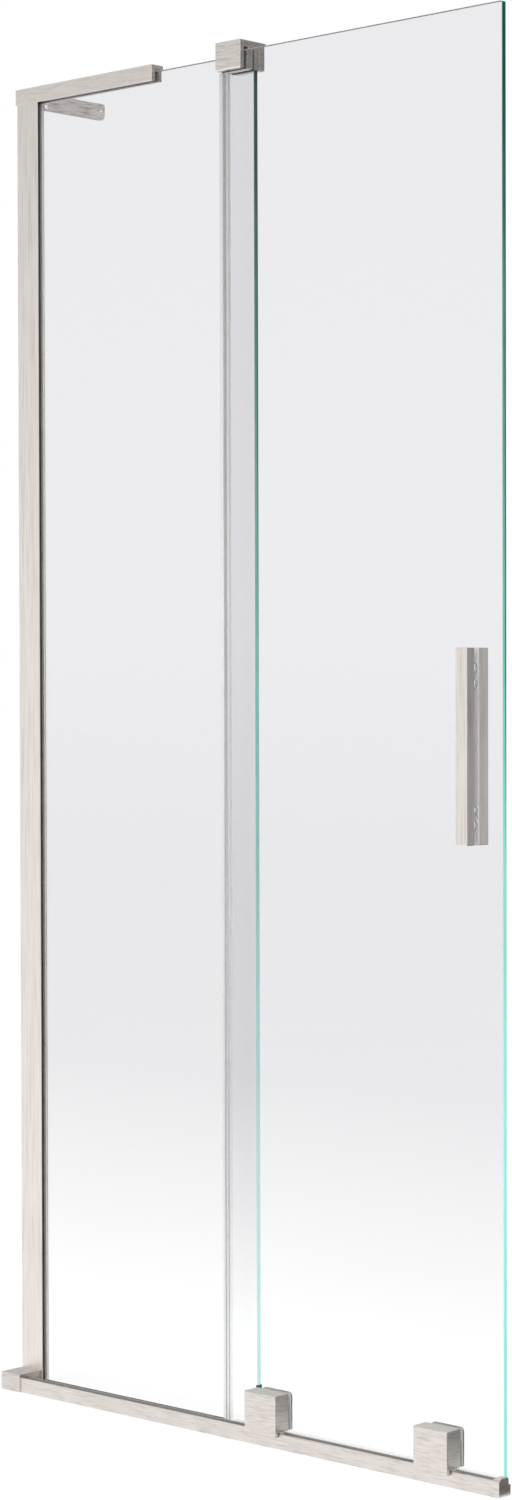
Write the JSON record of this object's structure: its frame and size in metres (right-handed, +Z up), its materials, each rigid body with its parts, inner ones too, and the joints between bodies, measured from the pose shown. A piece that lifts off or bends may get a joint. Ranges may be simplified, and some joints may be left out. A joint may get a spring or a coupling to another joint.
{
  "type": "sliding shower screen",
  "caption": "Frameless sliding shower screen: a fixed glass pane in a wall channel and a glass door on roller carriages that run on a bottom rail, with a bar handle.",
  "frame": {"origin": "on the wall face at floor level, in the middle plane of the fixed pane", "axes": "+X away from the wall along the rail, +Y into the shower, +Z up"},
  "size_m": [0.98, 0.2343, 2],
  "materials": {
    "brushed_nickel": "fine brushed, warm nickel",
    "clear_glass": "clear, polished edges with a green cast",
    "black_rubber": "matt",
    "grey_gasket": "matt, mid grey",
    "clear_seal": "clear, slightly milky",
    "steel": "plain stainless, satin",
    "white_plastic": "satin",
    "grey_plastic": "satin, light grey"
  },
  "bodies": {
    "frame": {"wall_profile": "brushed_nickel", "wall_gasket": "black_rubber", "wall_wedge": "grey_gasket", "fixed_glass": "clear_glass", "fixed_seat": "black_rubber", "pane_bumper": "black_rubber", "cap_rail": "brushed_nickel", "cap_gasket": "clear_seal", "cap_screws": "steel", "wall_bracket": "brushed_nickel", "bracket_screws": "steel", "guide_block": "brushed_nickel", "guide_gasket": "black_rubber", "guide_pad": "clear_seal", "guide_liner": "white_plastic", "guide_screws": "steel", "end_block": "brushed_nickel", "bottom_rail": "brushed_nickel", "rail_track": "steel", "travel_stops": "black_rubber", "rail_end_cap": "brushed_nickel"},
    "door": {"door_glass": "clear_glass", "door_seal": "clear_seal", "door_sweep": "clear_seal", "carriage_left": "brushed_nickel", "carriage_right": "brushed_nickel", "clamp_plate_left": "brushed_nickel", "clamp_plate_right": "brushed_nickel", "clamp_pads_left": "clear_seal", "clamp_pads_right": "clear_seal", "clamp_screws": "steel", "guide_shoe_left": "grey_plastic", "guide_shoe_right": "grey_plastic", "axles": "steel", "axle_spacers": "steel", "handle_front": "brushed_nickel", "handle_rear": "brushed_nickel", "handle_spacers": "steel", "handle_studs": "steel", "handle_washers": "clear_seal", "handle_screws": "steel"},
    "roller_1": {"wheel_1": "white_plastic", "bearing_1": "steel"},
    "roller_2": {"wheel_2": "white_plastic", "bearing_2": "steel"},
    "roller_3": {"wheel_3": "white_plastic", "bearing_3": "steel"},
    "roller_4": {"wheel_4": "white_plastic", "bearing_4": "steel"}
  },
  "joints": [
    {"name": "door_slide", "type": "slide", "parent": "frame", "child": "door", "axis": [-1, 0, 0], "range_m": [0, 0.38]},
    {"name": "roller_1_spin", "type": "hinge", "parent": "door", "child": "roller_1", "pos_m": [0.537, -0.0418, 0.0294], "axis": [0, -1, 0], "range_deg": [0, 2160]},
    {"name": "roller_2_spin", "type": "hinge", "parent": "door", "child": "roller_2", "pos_m": [0.563, -0.0418, 0.0294], "axis": [0, -1, 0], "range_deg": [0, 2160]},
    {"name": "roller_3_spin", "type": "hinge", "parent": "door", "child": "roller_3", "pos_m": [0.853, -0.0418, 0.0294], "axis": [0, -1, 0], "range_deg": [0, 2160]},
    {"name": "roller_4_spin", "type": "hinge", "parent": "door", "child": "roller_4", "pos_m": [0.879, -0.0418, 0.0294], "axis": [0, -1, 0], "range_deg": [0, 2160]}
  ],
  "couplings": [
    {"joint": "roller_1_spin", "follows": "door_slide", "rad_per_m": 99.01},
    {"joint": "roller_2_spin", "follows": "door_slide", "rad_per_m": 99.01},
    {"joint": "roller_3_spin", "follows": "door_slide", "rad_per_m": 99.01},
    {"joint": "roller_4_spin", "follows": "door_slide", "rad_per_m": 99.01}
  ]
}
